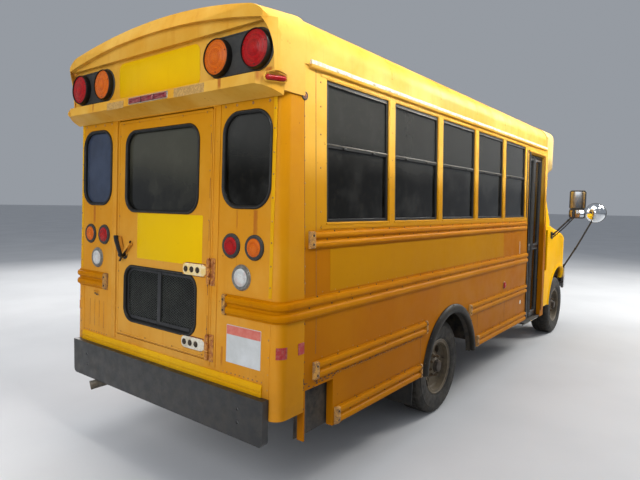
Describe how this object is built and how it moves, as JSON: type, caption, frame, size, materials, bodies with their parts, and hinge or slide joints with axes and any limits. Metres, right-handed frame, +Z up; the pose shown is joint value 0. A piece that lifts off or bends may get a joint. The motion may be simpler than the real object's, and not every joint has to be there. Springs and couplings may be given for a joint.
{
  "type": "short school bus",
  "caption": "Short yellow school bus on a van chassis: narrow passenger body, lamp caps front and rear, rear emergency door, two-leaf entry door and opening cab door and hood.",
  "frame": {"origin": "on the ground under the middle of the bus", "axes": "+X forward, +Y left, +Z up"},
  "size_m": [6.6022, 2.9294, 2.8297],
  "materials": {
    "bare_steel": "dull",
    "black_rubber": "matt",
    "bumper_black": "satin black",
    "bumper_grey": "satin grey",
    "cast_metal": "oily cast metal",
    "chassis_black": "dusty black",
    "clear_glass": "light tint",
    "clear_lens": "clear",
    "floor_rubber": "ribbed matt black",
    "frame_black": "black anodised",
    "lens_red": "gloss",
    "roof_white": "weathered white",
    "rusty_steel": "rusty",
    "seat_fabric": "grey cloth",
    "seat_vinyl": "dark blue vinyl",
    "sign_red": "reflective red",
    "tinted_glass": "dark tint",
    "trim_black": "matt",
    "trim_grey": "matt",
    "tyre_rubber": "matt",
    "wheel_steel": "dusty grey steel",
    "yellow": "weathered school-bus yellow enamel"
  },
  "bodies": {
    "body": {"arch_flares": "black_rubber", "bench_seats": "seat_vinyl", "cab_frame": "yellow", "dashboard": "trim_grey", "drive_shaft": "bare_steel", "driver_seat": "seat_fabric", "engine": "cast_metal", "exhaust_pipe": "rusty_steel", "floor": "floor_rubber", "frame_rails": "chassis_black", "front_bumper": "bumper_grey", "front_cap": "yellow", "front_fenders": "yellow", "front_panel": "yellow", "front_suspension": "chassis_black", "front_warning_lamps": "lens_red", "fuel_tank": "chassis_black", "grille": "trim_black", "headlamps": "clear_lens", "left_wall": "yellow", "mirrors": "trim_black", "mud_flaps": "black_rubber", "rear_axle": "chassis_black", "rear_bumper": "bumper_black", "rear_cap": "yellow", "rear_springs": "chassis_black", "rear_wall": "yellow", "right_wall": "yellow", "roof": "roof_white", "rub_rails": "yellow", "steering_wheel": "trim_black", "step_well": "floor_rubber", "stop_arm_base": "trim_black", "tail_lamps": "lens_red", "warning_lamps": "lens_red", "window_frames": "frame_black", "window_glass": "tinted_glass", "windshield": "clear_glass"},
    "cab_door": {"driver_door": "yellow", "driver_door_glass": "clear_glass"},
    "entry_leaf_front": {"entry_door_front": "frame_black", "entry_glass_front": "tinted_glass"},
    "entry_leaf_rear": {"entry_door_rear": "frame_black", "entry_glass_rear": "tinted_glass"},
    "hood_panel": {"hood": "yellow"},
    "knuckle_l": {"knuckle_left": "cast_metal"},
    "knuckle_r": {"knuckle_right": "cast_metal"},
    "emergency_door": {"rear_door": "yellow", "rear_door_glass": "tinted_glass"},
    "stop_sign": {"stop_arm": "sign_red"},
    "road_wheel_front_left": {"tyre_front_left": "tyre_rubber", "wheel_front_left": "wheel_steel"},
    "road_wheel_front_right": {"tyre_front_right": "tyre_rubber", "wheel_front_right": "wheel_steel"},
    "road_wheel_rear_left": {"tyre_rear_left": "tyre_rubber", "wheel_rear_left": "wheel_steel"},
    "road_wheel_rear_right": {"tyre_rear_right": "tyre_rubber", "wheel_rear_right": "wheel_steel"}
  },
  "joints": [
    {"name": "steer_right", "type": "hinge", "parent": "body", "child": "knuckle_r", "pos_m": [2.54123, -0.772, 0.388], "axis": [0, 0, 1], "range_deg": [-30, 30]},
    {"name": "steer_left", "type": "hinge", "parent": "body", "child": "knuckle_l", "pos_m": [2.54123, 0.772, 0.388], "axis": [0, 0, 1], "range_deg": [-30, 30]},
    {"name": "roll_rear_right", "type": "hinge", "parent": "body", "child": "road_wheel_rear_right", "pos_m": [-1.13877, -0.83, 0.388], "axis": [0, 1, 0], "continuous": true},
    {"name": "roll_rear_left", "type": "hinge", "parent": "body", "child": "road_wheel_rear_left", "pos_m": [-1.13877, 0.83, 0.388], "axis": [0, 1, 0], "continuous": true},
    {"name": "roll_front_right", "type": "hinge", "parent": "knuckle_r", "child": "road_wheel_front_right", "pos_m": [2.54123, -0.86, 0.388], "axis": [0, 1, 0], "continuous": true},
    {"name": "roll_front_left", "type": "hinge", "parent": "knuckle_l", "child": "road_wheel_front_left", "pos_m": [2.54123, 0.86, 0.388], "axis": [0, 1, 0], "continuous": true},
    {"name": "emergency_door_swing", "type": "hinge", "parent": "body", "child": "emergency_door", "pos_m": [-3.21339, -0.494, 1.53643], "axis": [0.0268, 0, 0.9996], "range_deg": [0, 100]},
    {"name": "entry_rear_leaf_swing", "type": "hinge", "parent": "body", "child": "entry_leaf_rear", "pos_m": [1.00923, -0.966, 1.373], "axis": [0, 0, -1], "range_deg": [0, 88]},
    {"name": "entry_front_leaf_swing", "type": "hinge", "parent": "body", "child": "entry_leaf_front", "pos_m": [1.62823, -0.966, 1.373], "axis": [0, 0, 1], "range_deg": [0, 88]},
    {"name": "driver_door_swing", "type": "hinge", "parent": "body", "child": "cab_door", "pos_m": [1.94423, 1.018, 1.2], "axis": [0, 0, -1], "range_deg": [0, 68]},
    {"name": "hood_lift", "type": "hinge", "parent": "body", "child": "hood_panel", "pos_m": [2.22723, 0, 1.508], "axis": [0, -1, 0], "range_deg": [0, 50]},
    {"name": "stop_arm_swing", "type": "hinge", "parent": "body", "child": "stop_sign", "pos_m": [0.89123, 1.065, 1.35], "axis": [0, 0, -1], "range_deg": [0, 90]}
  ],
  "couplings": [
    {"joint": "steer_left", "follows": "steer_right", "ratio": 1},
    {"joint": "entry_front_leaf_swing", "follows": "entry_rear_leaf_swing", "ratio": 1}
  ]
}
